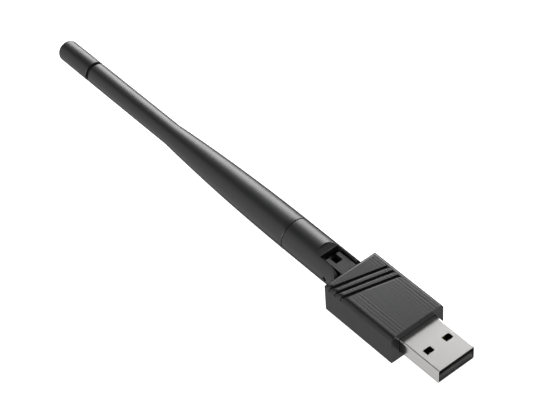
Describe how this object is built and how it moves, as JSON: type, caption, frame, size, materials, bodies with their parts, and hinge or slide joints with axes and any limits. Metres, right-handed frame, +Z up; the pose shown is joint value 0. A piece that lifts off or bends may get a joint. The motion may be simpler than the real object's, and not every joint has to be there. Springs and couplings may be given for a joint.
{
  "type": "usb wifi adapter",
  "caption": "USB wifi adapter: flat black body with a USB-A plug, slanted louvres on top and a long tapered rod antenna on a fork hinge.",
  "frame": {"origin": "under the middle of the overall length, at the height of the antenna's lowest line", "axes": "+X along the length towards the plug's tip, +Y across the body, +Z up out of the louvred top"},
  "size_m": [0.162, 0.0172, 0.0099],
  "materials": {
    "body_plastic": "satin moulded black with fine lengthwise ribs on top",
    "antenna_plastic": "soft satin black",
    "plug_metal": "nickel-plated, finely brushed",
    "plug_insulator": "matte black",
    "contact_gold": "gold-plated",
    "board_green": "solder mask",
    "chip_black": "moulded epoxy",
    "capacitor_ceramic": "sintered ceramic",
    "coax_jacket": "smooth jacket",
    "hinge_steel": "turned",
    "washer_black": "smooth nylon",
    "radiator_brass": "drawn tube",
    "wire_copper": "bare wire",
    "foam_white": "closed-cell foam"
  },
  "bodies": {
    "adapter_body": {"housing_shell": "body_plastic", "bottom_cover": "body_plastic", "usb_shell": "plug_metal", "usb_insulator": "plug_insulator", "usb_contact_1": "contact_gold", "usb_contact_2": "contact_gold", "usb_contact_3": "contact_gold", "usb_contact_4": "contact_gold", "circuit_board": "board_green", "wifi_chip": "chip_black", "quartz_crystal": "hinge_steel", "voltage_regulator": "chip_black", "power_inductor": "chip_black", "chip_capacitor_1": "capacitor_ceramic", "chip_capacitor_2": "capacitor_ceramic", "chip_capacitor_3": "capacitor_ceramic", "chip_capacitor_4": "capacitor_ceramic", "chip_capacitor_5": "capacitor_ceramic", "chip_capacitor_6": "capacitor_ceramic", "coax_lead": "coax_jacket"},
    "antenna": {"antenna_knuckle": "antenna_plastic", "antenna_sleeve": "antenna_plastic", "tip_cap": "antenna_plastic", "hinge_pin_left": "hinge_steel", "hinge_pin_right": "hinge_steel", "friction_washer_left": "washer_black", "friction_washer_right": "washer_black", "coax_feed": "coax_jacket", "choke_tube": "radiator_brass", "heat_shrink_sleeve": "chip_black", "radiator_wire": "wire_copper", "foam_spacer": "foam_white"}
  },
  "joints": [
    {"name": "antenna_tilt", "type": "hinge", "parent": "adapter_body", "child": "antenna", "pos_m": [0.0385, 0, 0.00493], "axis": [0, 1, 0], "range_deg": [0, 90]}
  ]
}
